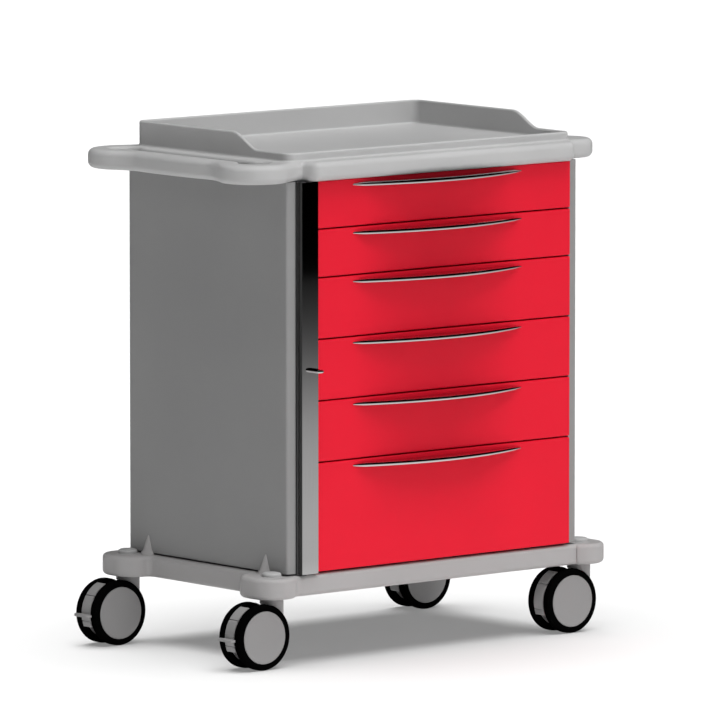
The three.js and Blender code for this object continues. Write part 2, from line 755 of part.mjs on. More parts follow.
function tyreGeometry() {
  const profile = [
    new THREE.Vector2(RIM_RADIUS, WHEEL_INNER),
    new THREE.Vector2(TYRE_FACE, WHEEL_INNER),
    new THREE.Vector2(WHEEL_RADIUS, WHEEL_INNER + TYRE_SHOULDER),
    new THREE.Vector2(WHEEL_RADIUS, WHEEL_OUTER - TYRE_SHOULDER),
    new THREE.Vector2(TYRE_FACE, WHEEL_OUTER),
    new THREE.Vector2(RIM_RADIUS, WHEEL_OUTER),
    new THREE.Vector2(RIM_RADIUS, WHEEL_INNER),
  ];
  return new THREE.LatheGeometry(profile, ROUND);
}

function buildCaster(corner, sideX, sideY) {
  const caster = new THREE.Group();
  caster.position.set(sideX * SWIVEL_X - TRAIL, sideY * SWIVEL_Y, WHEEL_RADIUS);
  cart.add(caster);
  const name = "caster_" + corner;
  const braked = sideX < 0;
  place(caster, name + "_fork", forkGeometry(braked), FORK_GREY);
  if (braked) place(caster, name + "_pedal", pedalGeometry(), FORK_GREY);
  const wheels = [
    ["outer", sideY > 0 ? 0 : Math.PI],
    ["inner", sideY > 0 ? Math.PI : 0],
  ];
  for (const [which, turn] of wheels) {
    const hub = place(caster, name + "_hub_" + which, hubGeometry(), HUB_GREY);
    const tyre = place(caster, name + "_tyre_" + which, tyreGeometry(), BLACK_RUBBER);
    hub.rotation.x = turn;
    tyre.rotation.x = turn;
  }
}

// ---- Assembly ----
buildBase();
buildCabinet();
drawers.forEach((drawer, index) => buildDrawer(drawer, index + 1));
buildRunners();
buildLockBar();
buildWorktop();
buildGallery();
for (const [name, sideX, sideY] of CORNERS) {
  buildBoltCap(name, sideX, sideY);
  buildCaster(name, sideX, sideY);
}

const part = new THREE.Group();
part.add(cart);

export default part;
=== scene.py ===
"""Looks for the crash cart: finely rounded pieces with procedural materials, built round the
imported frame. Metres, +Z up; the drawers face -Y and the push handle is on the -X side."""

import math

import bmesh
import bpy
import numpy as np
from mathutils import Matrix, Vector


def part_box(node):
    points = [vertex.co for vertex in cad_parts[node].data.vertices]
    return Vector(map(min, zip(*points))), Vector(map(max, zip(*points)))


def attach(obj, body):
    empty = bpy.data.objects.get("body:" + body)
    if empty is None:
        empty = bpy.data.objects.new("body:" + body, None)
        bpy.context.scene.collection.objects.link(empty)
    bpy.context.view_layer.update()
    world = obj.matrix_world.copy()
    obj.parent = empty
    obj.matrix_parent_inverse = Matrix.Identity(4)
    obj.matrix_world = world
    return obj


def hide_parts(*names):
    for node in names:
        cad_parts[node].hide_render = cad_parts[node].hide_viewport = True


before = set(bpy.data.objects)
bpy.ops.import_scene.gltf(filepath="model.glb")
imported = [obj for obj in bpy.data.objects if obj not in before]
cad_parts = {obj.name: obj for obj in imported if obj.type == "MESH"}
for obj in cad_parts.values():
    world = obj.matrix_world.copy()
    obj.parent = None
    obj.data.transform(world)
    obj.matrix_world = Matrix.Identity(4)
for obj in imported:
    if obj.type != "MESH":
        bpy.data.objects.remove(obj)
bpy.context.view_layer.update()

MM = 0.001

# ---- Places taken from the frame ----
BASE_LO, BASE_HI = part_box("base_tray")
CART_X = (BASE_LO.x + BASE_HI.x) / 2  # middle of the four casters
CART_Y = (BASE_LO.y + BASE_HI.y) / 2
TOP_LO, TOP_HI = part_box("worktop")
TRAY_LO, TRAY_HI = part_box("worktop_tray")
CAP_LO, CAP_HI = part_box("bolt_cap_front_left")
SWIVEL_X = CART_X - (CAP_LO.x + CAP_HI.x) / 2
SWIVEL_Y = CART_Y - (CAP_LO.y + CAP_HI.y) / 2
CAD_GAP = 0.3 * MM  # left between parts that touch
BASE_TOP = CAP_LO.z - CAD_GAP
PANEL_OUTSIDE = {-1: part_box("side_panel_left")[0].x, 1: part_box("side_panel_right")[1].x}
CORNERS = {
    "front_left": (-1, -1),
    "back_left": (-1, 1),
    "front_right": (1, -1),
    "back_right": (1, 1),
}

# ---- Shape constants ----
WORKTOP_EDGE = 12 * MM
HANDLE_LOBE = 71.3 * MM
HANDLE_LOBE_AT = (-407.4 * MM, -192.6 * MM)
RIGHT_LOBE = 49.5 * MM
RIGHT_LOBE_AT = (376.7 * MM, -188.4 * MM)
APRON_Y = -271 * MM
NECK_Y = -241.6 * MM
RIGHT_SIDE_X = 397 * MM
GRIP_X = -454 * MM
GRIP_CROWN = 6 * MM
SLOT_X = (-416 * MM, -386 * MM)
SLOT_END = 30 * MM
SLOT_END_X = -407 * MM
SLOT_EDGE = 8 * MM

TRAY_WALL = 8 * MM
TRAY_CORNER = 20 * MM
TRAY_FLOOR = TOP_HI.z + 1.1 * MM
TRAY_LIP = 971.2 * MM
RAMP_Y = (-139 * MM, -62 * MM)

BASE_LOBE = 48.5 * MM
BASE_LOBE_RUN = 18 * MM  # how far each lobe is drawn out along the side
BASE_FRONT = -246.5 * MM
BASE_EDGE = 8 * MM
CONE_RADIUS = 15 * MM
CONE_TIP = 2 * MM
CONE_HEIGHT = 36 * MM
CONE_FROM_SWIVEL = 40 * MM

WHEEL_RADIUS = 62.5 * MM
RIM_RADIUS = 50.5 * MM
TRAIL = 42 * MM
FORK_RADIUS = 61.5 * MM
FORK_HALF = 12.9 * MM
FORK_TOP = 68 * MM
FORK_BROW = 8 * MM
FORK_BROW_DEG = 112
FORK_BOSS = 14 * MM  # round the axle
FORK_FOOT = (58 * MM, 30 * MM)  # the web's lowest point in front, from the axle
FENDER_END_DEG = 204
FENDER_GROOVE_DEG = 193
FENDER_RIBS_DEG = (196, 199.5)
FENDER_STEPS = 40
HEAD_RADIUS = 22.6 * MM
HEAD_EASE = 1.5 * MM
HEAD_LOWEST = 95 * MM
HEAD_CLEARS = 64.5 * MM  # from the axle, so that the tyres pass under the head
HEAD_TOP = 131.5 * MM
STEM_RADIUS = 9 * MM
STEM_TOP = 158.5 * MM
AXLE_RADIUS = 6 * MM
AXLE_HALF = 26 * MM

PEDAL_FROM_DEG = 145.5
PEDAL_SLIT_DEG = 144  # the fork's fender stops here, just short of the pedal
PEDAL_INSIDE = 45.5 * MM
FORK_INSIDE = 45 * MM
TOE_ROOT = -49 * MM
TOE_NECK = -64 * MM
TOE_TIP = -76 * MM
TOE_HALF = 22 * MM
TOE_CORNER = 8 * MM
TOE_Z = (-3.8 * MM, 0.8 * MM)

TYRE_Y = (13.6 * MM, 31 * MM)  # inner and outer face, from the fork's middle
TYRE_SHOULDER = 4.5 * MM
HUB_DEPTH = 26.5 * MM
HUB_BORE = 6.25 * MM

PANEL_SKIN = 3 * MM
PANEL_REVEAL = 1.5 * MM  # widens the dark line between the side panels and the base
PANEL_BEND = 5 * MM
PANEL_RETURN = 16 * MM
DRAWER_CORNER = 9 * MM
HANDLE_TIP = 22 * MM  # the handles' plates thin out over this length
BAR_RISE = 1.5 * MM  # closes the view past the top of the lock bar

# The floor that shiny metal sees. Distances are from the middle of the cart, in metres.
FLOOR_GLOW = 0.51
GLOW_HALVED_AT = 4.25
GLOW_SOFTNESS = 0.73
GLOW_END = 6.83
NEAR_GLOW = 0.29  # more, close to the cart
NEAR_GLOW_FADE = (0.8, 1.52)
MIRROR_FLOOR_RADIUS = 8


# ---- Outlines: closed loops of points in a plane, counterclockwise ----
def arc(centre, radius, start, end, count=24):
    """Points of a circle's arc, from start to end in degrees."""
    angles = np.radians(np.linspace(start, end, count))
    return np.array(centre) + radius * np.stack([np.cos(angles), np.sin(angles)], 1)


def bezier(*points, count=16):
    """A Bezier curve through its first and last point, pulled by those between."""
    t = np.linspace(0, 1, count)[:, None]
    level = [np.array(p, float) + 0 * t for p in points]
    while len(level) > 1:
        level = [a * (1 - t) + b * t for a, b in zip(level, level[1:])]
    return level[0]


def joined(*runs):
    """The runs one after another as one loop, without repeated points."""
    points = np.concatenate([np.atleast_2d(np.array(r, float)) for r in runs])
    steps = np.linalg.norm(points - np.roll(points, 1, 0), axis=1)
    return points[steps > 1e-6]


def mirrored(run, axis):
    """The run's mirror image across the axis, in the opposite order."""
    image = np.array(run)[::-1].copy()
    image[:, axis] *= -1
    return image


def resampled(loop, spacing):
    """The loop at equal steps of about that spacing."""
    ends = np.vstack([loop, loop[:1]])
    along = np.concatenate([[0], np.cumsum(np.linalg.norm(np.diff(ends, axis=0), axis=1))])
    count = max(8, round(along[-1] / spacing))
    at = np.linspace(0, along[-1], count, endpoint=False)
    return np.stack([np.interp(at, along, ends[:, k]) for k in range(2)], 1)


def softened(loop, reach):
    """The loop with its corners rounded by averaging over a few neighbours each way."""
    weights = np.exp(-((np.arange(-2 * reach, 2 * reach + 1) / reach) ** 2))
    weights /= weights.sum()
    return sum(w * np.roll(loop, k - 2 * reach, 0) for k, w in enumerate(weights))


def inset(loop, distance):
    """The counterclockwise loop moved inward by that distance."""
    before = loop - np.roll(loop, 1, 0)
    after = np.roll(loop, -1, 0) - loop
    before /= np.linalg.norm(before, axis=1)[:, None]
    after /= np.linalg.norm(after, axis=1)[:, None]
    tangent = before + after
    tangent /= np.linalg.norm(tangent, axis=1)[:, None]
    normal = np.stack([-tangent[:, 1], tangent[:, 0]], 1)
    stretch = np.clip((tangent * after).sum(1), 0.5, 1)
    return loop + normal * (distance / stretch)[:, None]


def rounded_rectangle(half_x, half_y, corner, count=10):
    """A rectangle about the origin with round corners."""
    x, y = half_x - corner, half_y - corner
    return joined(
        arc((x, -y), corner, -90, 0, count),
        arc((x, y), corner, 0, 90, count),
        arc((-x, y), corner, 90, 180, count),
        arc((-x, -y), corner, 180, 270, count),
    )


# ---- Meshes ----
def ring(loop, z, centre=(0, 0)):
    """A loop lifted to height z, which may differ from point to point."""
    z = np.broadcast_to(z, len(loop))
    return np.column_stack([loop + np.array(centre), z])


def skin(bm, rings, closed=True):
    """Quads between each ring and the next; returns the rings' vertices."""
    rows = [[bm.verts.new(p) for p in r] for r in rings]
    for low, high in zip(rows, rows[1:]):
        count = len(low) if closed else len(low) - 1
        for i in range(count):
            j = (i + 1) % len(low)
            bm.faces.new((low[i], low[j], high[j], high[i]))
    return rows


def fill(bm, *loops):
    """A flat face across one loop of vertices, or between an outer loop and its holes."""
    if len(loops) == 1:
        bm.faces.new(loops[0])
        return
    edges = []
    for loop in loops:
        for a, b in zip(loop, loop[1:] + loop[:1]):
            edges.append(bm.edges.get((a, b)) or bm.edges.new((a, b)))
    bmesh.ops.triangle_fill(bm, edges=edges, use_beauty=True, use_dissolve=False)


def finished(name, bm, material, body, slot, replaces=(), sharp=38, bevel=None):
    """Turns the mesh into a piece that rides on a body and stands for CAD nodes."""
    bmesh.ops.remove_doubles(bm, verts=bm.verts, dist=1e-6)
    bmesh.ops.recalc_face_normals(bm, faces=bm.faces)
    mesh = bpy.data.meshes.new(name)
    bm.to_mesh(mesh)
    bm.free()
    mesh.shade_smooth()
    mesh.set_sharp_from_angle(angle=math.radians(sharp))
    mesh.materials.append(material)
    piece = bpy.data.objects.new(name, mesh)
    bpy.context.scene.collection.objects.link(piece)
    if bevel:
        add_bevel(piece, *bevel)
    weighted = piece.modifiers.new("weighted_normals", "WEIGHTED_NORMAL")
    weighted.keep_sharp = True
    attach(piece, body)
    if replaces:
        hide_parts(*replaces)
    return piece


def add_bevel(piece, width, segments=3):
    bevel = piece.modifiers.new("edges", "BEVEL")
    bevel.width = width
    bevel.segments = segments
    bevel.limit_method = "ANGLE"
    bevel.angle_limit = math.radians(38)
    bevel.use_clamp_overlap = True


def prism(bm, loop, place, low, high):
    """The loop extruded from low to high; place(a, b, h) puts each point in the frame."""
    rows = [[bm.verts.new(place(a, b, h)) for a, b in loop] for h in (low, high)]
    for i in range(len(loop)):
        j = (i + 1) % len(loop)
        bm.faces.new((rows[0][i], rows[0][j], rows[1][j], rows[1][i]))
    bm.faces.new(rows[0][::-1])
    bm.faces.new(rows[1])


def block(bm, low, high):
    """A box from its lowest to its highest corner."""
    loop = [(low[0], low[1]), (high[0], low[1]), (high[0], high[1]), (low[0], high[1])]
    prism(bm, loop, lambda a, b, h: (a, b, h), low[2], high[2])


def quarter(radius, count=6):
    """Inset and drop of a rounded edge, from the side of a plate to its flat."""
    turns = np.radians(np.linspace(0, 90, count))
    return [(radius * (1 - math.cos(t)), radius * (1 - math.sin(t))) for t in turns]


def plate_rings(loop, z0, z1, radius, centre=(0, 0), outward=1):
    """Rings of a plate's rounded side, from its lower flat to its upper flat."""
    lower = [(i, z0 + d) for i, d in reversed(quarter(radius))]
    upper = [(i, z1 - d) for i, d in quarter(radius)]
    return [ring(inset(loop, outward * i), z, centre) for i, z in lower + upper]


def revolved(bm, profile, at, spin=1, count=64):
    """A profile of (radius, distance along +Y or -Y) turned about a Y axis at a point."""
    angles = np.linspace(0, 2 * math.pi, count, endpoint=False)
    rings = []
    for radius, along in profile:
        x = at[0] + radius * np.cos(angles)
        z = at[2] + radius * np.sin(angles)
        rings.append(np.column_stack([x, np.full(count, at[1] + spin * along), z]))
    skin(bm, rings)


def domed(bm, profile, at, count=48):
    """A profile of (radius, height) turned about the Z axis at a point."""
    angles = np.linspace(0, 2 * math.pi, count, endpoint=False)
    circle = np.stack([np.cos(angles), np.sin(angles)], 1)
    rings = [ring(circle * radius, at[2] + height, at[:2]) for radius, height in profile]
    skin(bm, rings)


# ---- Materials ----
def material(
    name,
    color,
    roughness,
    metallic=0.0,
    mottle=0.03,
    grain=1200.0,
    depth=0.02 * MM,
    stretch=(1, 1, 1),
    edge=0.0,
    specular=0.5,
):
    """A surface with faint blotches, fine grain and a painted highlight that makes sharp convex edges
    lighter.
    """
    made = bpy.data.materials.new(name)
    made.use_nodes = True
    nodes, links = made.node_tree.nodes, made.node_tree.links
    shader = nodes["Principled BSDF"]
    shader.inputs["Metallic"].default_value = metallic
    shader.inputs["Specular IOR Level"].default_value = specular

    coordinates = nodes.new("ShaderNodeTexCoord")
    stretched = nodes.new("ShaderNodeMapping")
    stretched.inputs["Scale"].default_value = stretch
    links.new(coordinates.outputs["Object"], stretched.inputs["Vector"])

    def noise(source, scale, detail):
        node = nodes.new("ShaderNodeTexNoise")
        node.inputs["Scale"].default_value = scale
        node.inputs["Detail"].default_value = detail
        links.new(source, node.inputs["Vector"])
        return node.outputs["Fac"]

    blotches = noise(coordinates.outputs["Object"], 7.0, 4.0)
    fine = noise(stretched.outputs["Vector"], grain, 2.0)

    def blended(factor, low, high, reach=(0.3, 0.7)):
        node = nodes.new("ShaderNodeMapRange")
        node.inputs["From Min"].default_value = reach[0]
        node.inputs["From Max"].default_value = reach[1]
        node.inputs["To Min"].default_value = low
        node.inputs["To Max"].default_value = high
        links.new(factor, node.inputs["Value"])
        return node.outputs["Result"]

    def mixed(factor, one, other):
        node = nodes.new("ShaderNodeMix")
        node.data_type = "RGBA"
        links.new(factor, node.inputs["Factor"])
        for socket, value in (("A", one), ("B", other)):
            target = next(s for s in node.inputs if s.name == socket and s.type == "RGBA")
            if isinstance(value, bpy.types.NodeSocket):
                links.new(value, target)
            else:
                target.default_value = (*value, 1)
        return next(s for s in node.outputs if s.type == "RGBA")

    dark = [c * (1 - mottle) for c in color]
    light = [min(1, c * (1 + mottle)) for c in color]
    tone = mixed(blended(blotches, 0, 1), dark, light)
    speckled = mixed(blended(fine, 0, 0.35), tone, [min(1, c * (1 + 2 * mottle)) for c in color])
    # Painted highlight: sharply convex places (high pointiness) get a lighter colour, by the edge
    # factor.
    if edge:
        geometry = nodes.new("ShaderNodeNewGeometry")
        painted_edge_highlight = blended(geometry.outputs["Pointiness"], 0, 1, (0.52, 0.60))
        speckled = mixed(painted_edge_highlight, speckled, [min(1, c * (1 + edge)) for c in color])
    links.new(speckled, shader.inputs["Base Color"])
    links.new(blended(blotches, 0.9 * roughness, 1.1 * roughness), shader.inputs["Roughness"])

    bump = nodes.new("ShaderNodeBump")
    bump.inputs["Strength"].default_value = 0.6
    bump.inputs["Distance"].default_value = depth
    links.new(fine, bump.inputs["Height"])
    links.new(bump.outputs["Normal"], shader.inputs["Normal"])
    return made


# edge sets the strength of the painted highlight on sharp convex edges.
WORKTOP_GREY = material("worktop_grey", (0.515, 0.515, 0.515), 0.42, edge=0.12)
BASE_GREY = material("base_grey", (0.42, 0.41, 0.41), 0.45, edge=0.12)
CAP_GREY = material("cap_grey", (0.46, 0.46, 0.46), 0.42, edge=0.1)
PANEL_GREY = material("panel_grey", (0.30, 0.30, 0.30), 0.5, grain=900, depth=0.03 * MM)
FRAME_GREY = material("frame_grey", (0.06, 0.06, 0.065), 0.5)
DRAWER_RED = material("drawer_red", (0.82, 0.008, 0.030), 0.42, mottle=0.02, specular=0.18)
LINER_GREY = material("liner_grey", (0.6, 0.61, 0.61), 0.5)
STEEL = material(
    "satin_steel", (0.72, 0.71, 0.71), 0.04, 1.0, grain=260, depth=0.006 * MM, stretch=(1, 6, 0.05)
)
HANDLE_STEEL = material(
    "handle_steel", (0.75, 0.73, 0.73), 0.08, 1.0, grain=260, depth=0.006 * MM, stretch=(0.05, 6, 6)
)
# Painted shade: a dark grey for the lock bar's side faces, standing in for the shadowed post that the
# steel would reflect there.
PAINTED_SHADE_GREY = material("painted_shade_grey", (0.065, 0.065, 0.065), 0.6, specular=0.1)
FORK_GREY = material("fork_grey", (0.32, 0.315, 0.315), 0.45, edge=0.2)
HUB_GREY = material("hub_grey", (0.285, 0.28, 0.28), 0.45)
TYRE_BLACK = material("tyre_black", (0.0015, 0.0015, 0.0015), 0.6, mottle=0.2, specular=0.0)


# ---- Base ----
def base_outline():
    """From the middle of the left side round the front-left lobe, and its mirror images."""
    lobe = (-SWIVEL_X, -SWIVEL_Y)
    drawn = (lobe[0], lobe[1] + BASE_LOBE_RUN)
    side = arc(drawn, BASE_LOBE, 104, 104, 1)[0]
    front = arc(lobe, BASE_LOBE, 315, 315, 1)[0]
    crown_y = drawn[1] + BASE_LOBE
    quarter_run = np.concatenate([
        bezier((lobe[0], crown_y + 10 * MM), (lobe[0], crown_y), side),
        arc(drawn, BASE_LOBE, 104, 180, 22),
        arc(lobe, BASE_LOBE, 180, 315, 38),
        bezier(
            front,
            (front[0] - (BASE_FRONT - front[1]), BASE_FRONT),
            (front[0] + 13 * MM, BASE_FRONT),
        ),
    ])
    front_half = np.concatenate([quarter_run, mirrored(quarter_run, 0)])
    return joined(front_half, mirrored(front_half, 1))


def half_cone(bm, side_x, side_y):
    """A locating cone that stands on the base against the side panel."""
    centre = np.array([PANEL_OUTSIDE[side_x], CART_Y + side_y * (SWIVEL_Y - CONE_FROM_SWIVEL)])
    start = 90 if side_x < 0 else -90
    flare = [(1.12, -1), (1.03, 1.5), (0.96, 4)]
    levels = [(CONE_RADIUS * f, BASE_TOP + z * MM) for f, z in flare]
    for share in np.linspace(0.2, 1, 7):
        radius = CONE_RADIUS * (1 - share) * 0.93 + CONE_TIP * share
        levels.append((radius, BASE_TOP + share * (CONE_HEIGHT - CONE_TIP)))
    for turn in (30, 60, 85):
        drop = math.radians(turn)
        height = BASE_TOP + CONE_HEIGHT - CONE_TIP * (1 - math.sin(drop))
        levels.append((CONE_TIP * math.cos(drop), height))
    rings = [ring(arc((0, 0), r, start, start + 180, 25), z, centre) for r, z in levels]
    rows = skin(bm, rings)
    fill(bm, rows[0])
    fill(bm, rows[-1])


def build_base():
    loop = resampled(base_outline(), 4 * MM)
    bm = bmesh.new()
    rows = skin(bm, plate_rings(loop, BASE_LO.z, BASE_TOP, BASE_EDGE, (CART_X, CART_Y)))
    fill(bm, rows[0])
    fill(bm, rows[-1])
    for side_x, side_y in CORNERS.values():
        half_cone(bm, side_x, side_y)
    finished("base_moulding", bm, BASE_GREY, "cabinet", "base_plastic", ["base_tray"])

    radius, height = (CAP_HI.x - CAP_LO.x) / 2, CAP_HI.z - CAP_LO.z
    profile = [(0, -0.5 * MM), (radius, -0.5 * MM), (radius, 0.3 * height)]
    for turn in np.radians(np.linspace(10, 90, 8)):
        across = radius - 0.45 * radius * (1 - math.cos(turn))
        profile.append((across, height * (0.3 + 0.58 * math.sin(turn))))
    profile += [(0.3 * radius, 0.96 * height), (0, height)]
    for name, (side_x, side_y) in CORNERS.items():
        bm = bmesh.new()
        domed(bm, profile, (CART_X + side_x * SWIVEL_X, CART_Y + side_y * SWIVEL_Y, CAP_LO.z))
        node = "bolt_cap_" + name
        finished(node + "_dome", bm, CAP_GREY, "cabinet", "cap_plastic", [node])


# ---- Worktop and its gallery ----
def worktop_outline():
    """From the middle of the grip round the front to the middle of the right side, mirrored."""
    lobe = np.array(HANDLE_LOBE_AT)
    right = np.array(RIGHT_LOBE_AT)
    grip_y = 0.55 * lobe[1]
    leave = arc(lobe, HANDLE_LOBE, 150, 150, 1)[0]
    neck = arc(lobe, HANDLE_LOBE, 300, 300, 1)[0]
    side = arc(right, RIGHT_LOBE, 30, 30, 1)[0]
    right_front = right[1] - RIGHT_LOBE
    crown_x = GRIP_X - GRIP_CROWN
    apron_left, apron_right, bend = -308 * MM, 318 * MM, 17 * MM
    run = np.concatenate([
        bezier((crown_x, 0), (crown_x, grip_y / 2), (GRIP_X, grip_y)),
        bezier((GRIP_X, grip_y), (GRIP_X, leave[1] + 26 * MM), leave),
        arc(lobe, HANDLE_LOBE, 150, 300, 50),
        bezier(neck, (neck[0] + 22 * MM, NECK_Y), (neck[0] + 42 * MM, NECK_Y)),
        bezier(
            (neck[0] + 42 * MM, NECK_Y),
            (apron_left - bend, NECK_Y),
            (apron_left - bend, APRON_Y),
            (apron_left, APRON_Y),
        ),
        bezier(
            (apron_right, APRON_Y),
            (apron_right + bend, APRON_Y),
            (apron_right + bend, right_front),
            (352 * MM, right_front),
        ),
        arc(right, RIGHT_LOBE, -90, 30, 40),
        bezier(side, (RIGHT_SIDE_X, side[1] + 39 * MM), (RIGHT_SIDE_X, side[1] + 68 * MM)),
    ])
    return joined(run, mirrored(run, 1))


def slot_outline():
    """The hand slot: a straight slot that opens into a round end in each lobe."""
    lobe_y = -HANDLE_LOBE_AT[1]
    x0, x1 = SLOT_X
    meets = [math.degrees(math.acos((x - SLOT_END_X) / SLOT_END)) for x in (x1, x0)]
    end = arc((SLOT_END_X, -lobe_y), SLOT_END, meets[1] - 360, meets[0], 60)
    other = arc((SLOT_END_X, lobe_y), SLOT_END, -meets[0], 360 - meets[1], 60)
    loop = joined(end, other)
    return softened(resampled(loop, 3 * MM), 3)


def build_worktop():
    centre = (CART_X, CART_Y)
    outer = resampled(worktop_outline(), 4 * MM)
    slot = slot_outline()
    z0, z1 = TOP_LO.z, TOP_HI.z
    bm = bmesh.new()
    sides = skin(bm, plate_rings(outer, z0, z1, WORKTOP_EDGE, centre))
    hole = skin(bm, plate_rings(slot, z0, z1, SLOT_EDGE, centre, outward=-1))
    fill(bm, sides[0], hole[0])
    fill(bm, sides[-1], hole[-1])
    finished("worktop_moulding", bm, WORKTOP_GREY, "cabinet", "worktop_plastic", ["worktop"])


def tray_piece(name, loop, centre, floor, low, top, wall, foot, cove, **how):
    """An open tray round the loop: foot, outer wall, round rim, inner wall, cove and floor."""
    rim = wall / 2
    section = [(-foot, None, low), (-foot, None, low + 0.5 * MM)]
    for turn in np.radians(np.linspace(0, 90, 6))[1:] if foot else []:
        rise = low + 0.5 * MM + foot * (1 - math.cos(turn))
        section.append((-foot * (1 - math.sin(turn)), None, rise))
    for turn in np.radians(np.linspace(0, 180, 11)):
        section.append((rim * (1 - math.cos(turn)), -rim * (1 - math.sin(turn)), None))
    for turn in np.radians(np.linspace(0, 90, 6)):
        reach = wall + cove * (1 - math.cos(turn))
        section.append((reach, None, floor + cove * (1 - math.sin(turn))))
    bm = bmesh.new()
    rings = []
    for reach, below_top, z in section:
        rings.append(ring(inset(loop, reach), z if below_top is None else top + below_top, centre))
    rows = skin(bm, rings)
    fill(bm, rows[0])
    fill(bm, rows[-1])
    return finished(name, bm, **how)


def build_gallery():
    half_x, half_y = (TRAY_HI.x - TRAY_LO.x) / 2, (TRAY_HI.y - TRAY_LO.y) / 2
    loop = resampled(rounded_rectangle(half_x, half_y, TRAY_CORNER), 4 * MM)
    share = np.clip((loop[:, 1] - RAMP_Y[0]) / (RAMP_Y[1] - RAMP_Y[0]), 0, 1)
    ramp = share * share * (3 - 2 * share)
    top = TRAY_LIP + (TRAY_HI.z - TRAY_LIP) * ramp
    tray_piece(
        "gallery_moulding",
        loop,
        (CART_X, CART_Y),
        floor=TRAY_FLOOR,
        low=TOP_HI.z - 0.5 * MM,
        top=top,
        wall=TRAY_WALL,
        foot=4 * MM,
        cove=4 * MM,
        material=WORKTOP_GREY,
        body="cabinet",
        slot="worktop_plastic",
        replaces=["worktop_tray"],
    )


# ---- Cabinet ----
def recast(node, material_, width=0.6 * MM):
    """A CAD node that keeps its shape, with eased edges and a better material."""
    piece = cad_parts[node]
    piece.data.materials.clear()
    piece.data.materials.append(material_)
    add_bevel(piece, width, 2)


def build_side(node, side):
    """A folded sheet: the side, a round bend, the front flange and the return behind it."""
    lo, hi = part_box(node)
    outer, inner = (lo.x, hi.x) if side < 0 else (hi.x, lo.x)
    behind = inner + side * PANEL_SKIN
    centre = (outer - side * PANEL_BEND, lo.y + PANEL_BEND)
    turns = (180, 270) if side < 0 else (0, -90)
    loop = joined(
        [(outer, hi.y)],
        arc(centre, PANEL_BEND, *turns, 12),
        [(inner, lo.y), (inner, lo.y + PANEL_RETURN), (behind, lo.y + PANEL_RETURN)],
        [(behind, lo.y + PANEL_SKIN)],
        arc(centre, PANEL_BEND - PANEL_SKIN, *reversed(turns), 8),
        [(outer - side * PANEL_SKIN, hi.y)],
    )
    bm = bmesh.new()
    prism(bm, loop, lambda a, b, h: (a, b, h), lo.z + PANEL_REVEAL, hi.z)
    finished(
        node + "_sheet", bm, PANEL_GREY, "cabinet", "panel_paint", [node], bevel=(0.4 * MM, 2)
    )


def build_cabinet():
    recast("back_panel", PANEL_GREY, 0.8 * MM)
    build_side("side_panel_left", -1)
    build_side("side_panel_right", 1)
    for node in ("runner_panel_left", "runner_panel_right", "lock_channel"):
        recast(node, FRAME_GREY)
    for node in ("lock_hinge_lower", "lock_hinge_upper"):
        recast(node, FRAME_GREY, 0.3 * MM)


# ---- Drawers ----
def build_handle(node, body):
    """A thin crescent plate with a round front edge."""
    lo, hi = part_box(node)
    half, bow = (hi.x - lo.x) / 2, hi.y - lo.y
    middle_x, middle_z = (lo.x + hi.x) / 2, (lo.z + hi.z) / 2
    radius = (half**2 + bow**2) / (2 * bow)
    sweep = math.degrees(math.asin(half / radius))
    centre = (middle_x, lo.y + radius)
    front = arc(centre, radius, 270 - sweep, 270 + sweep, 81)
    from_tip = half - np.abs(front[:, 0] - middle_x)
    thick = (hi.z - lo.z) / 2 * np.sqrt(np.clip(from_tip / HANDLE_TIP, 0.06, 1))
    bm = bmesh.new()
    rings = []
    for turn in np.radians(np.linspace(-90, 90, 9)):
        back = thick * (1 - math.cos(turn))
        shrunk = np.array(centre) + (front - centre) * ((radius - back) / radius)[:, None]
        shrunk[:, 1] = np.minimum(shrunk[:, 1], hi.y)
        rings.append(ring(shrunk, middle_z + thick * math.sin(turn)))
    rows = skin(bm, rings)
    fill(bm, rows[0])
    fill(bm, rows[-1])
    finished(node + "_plate", bm, HANDLE_STEEL, body, "satin_steel", [node])


def build_drawer(number):
    body = f"drawer_{number}"
    lo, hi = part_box(body + "_front")
    bm = bmesh.new()
    block(bm, lo, hi)
    finished(
        body + "_face", bm, DRAWER_RED, body, "drawer_red", [body + "_front"], bevel=(1.6 * MM, 4)
    )

    lo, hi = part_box(body + "_box")
    half_x, half_y = (hi.x - lo.x) / 2, (hi.y - lo.y) / 2
    loop = resampled(rounded_rectangle(half_x, half_y, DRAWER_CORNER, 14), 6 * MM)
    tray_piece(
        body + "_liner",
        loop,
        ((lo.x + hi.x) / 2, (lo.y + hi.y) / 2),
        floor=lo.z + 3 * MM,
        low=lo.z,
        top=hi.z,
        wall=3 * MM,
        foot=0,
        cove=5 * MM,
        material=LINER_GREY,
        body=body,
        slot="drawer_liner",
        replaces=[body + "_box"],
    )
    build_handle(body + "_handle", body)


# ---- Lock bar ----
def build_lock():
    for node, slot, width in (
        ("lock_bar", "satin_steel", 0.4 * MM),
        ("lock_bar_backing", "backing_plastic", 0.3 * MM),
    ):
        lo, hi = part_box(node)
        bm = bmesh.new()
        block(bm, lo, (hi.x, hi.y, hi.z + BAR_RISE))
        strip = finished(node + "_strip", bm, STEEL, "lock", slot, [node], bevel=(width, 3))
        # The side faces (facing +X or -X) get the dark grey of painted shade instead of steel.
        strip.data.materials.append(PAINTED_SHADE_GREY)
        for face in strip.data.polygons:
            face.material_index = int(abs(face.normal.x) > 0.9)
    build_tab()


